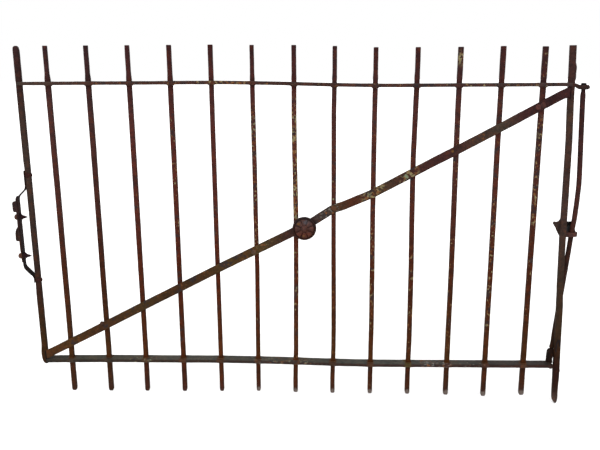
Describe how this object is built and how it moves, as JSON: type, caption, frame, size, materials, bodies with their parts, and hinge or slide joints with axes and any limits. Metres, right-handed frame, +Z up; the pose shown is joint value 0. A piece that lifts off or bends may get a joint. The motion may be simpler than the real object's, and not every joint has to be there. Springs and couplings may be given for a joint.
{
  "type": "garden gate leaf",
  "caption": "Wrought-iron garden gate leaf: square upright bars through punched rails, a diagonal brace with a round rosette, a sprung side catch and a long hinge rod.",
  "frame": {"origin": "the tip of the heel under the hinge stile, where the leaf turns in its socket", "axes": "+X across the leaf towards the hinge side, -Y is the front with the rosette, +Z is up"},
  "size_m": [1.6429, 0.0539, 1.0685],
  "materials": {
    "picket_iron": "rusted red-brown",
    "stile_iron": "rusted brown",
    "rail_iron": "weathered grey-brown",
    "brace_iron": "rusted brown with old paint",
    "rosette_iron": "dull brown with a grey sheen",
    "spring_steel": "near-black",
    "catch_iron": "dark brown",
    "rod_iron": "dark maroon rust",
    "hardware_iron": "rusted tan-brown"
  },
  "bodies": {
    "leaf": {"left_stile": "stile_iron", "right_stile": "stile_iron", "top_rail": "rail_iron", "bottom_rail": "rail_iron", "picket_01": "picket_iron", "picket_02": "picket_iron", "picket_03": "picket_iron", "picket_04": "picket_iron", "picket_05": "picket_iron", "picket_06": "picket_iron", "picket_07": "picket_iron", "picket_08": "picket_iron", "picket_09": "picket_iron", "picket_10": "picket_iron", "picket_11": "picket_iron", "picket_12": "picket_iron", "picket_13": "picket_iron", "brace_lower": "brace_iron", "brace_upper": "brace_iron", "brace_rivet_08": "brace_iron", "brace_rivet_13": "brace_iron", "rosette": "rosette_iron", "rosette_rivet": "rosette_iron", "latch_spring": "spring_steel", "strap_rivet_upper": "hardware_iron", "strap_rivet_lower": "hardware_iron", "rod_guide": "hardware_iron", "rod_lug": "hardware_iron"},
    "catch": {"catch_plate": "catch_iron", "catch_bolt_upper": "hardware_iron", "catch_bolt_lower": "hardware_iron", "catch_nut_upper": "hardware_iron", "catch_nut_lower": "hardware_iron"},
    "rod": {"hinge_rod": "rod_iron", "rod_head": "hardware_iron"}
  },
  "joints": [
    {"name": "catch_slide", "type": "slide", "parent": "leaf", "child": "catch", "axis": [1, 0, 0], "range_m": [0, 0.005], "stiffness_N_per_m": 3000, "deforming": ["latch_spring"]},
    {"name": "rod_lift", "type": "slide", "parent": "leaf", "child": "rod", "axis": [0, 0, 1], "range_m": [0, 0.012]}
  ]
}
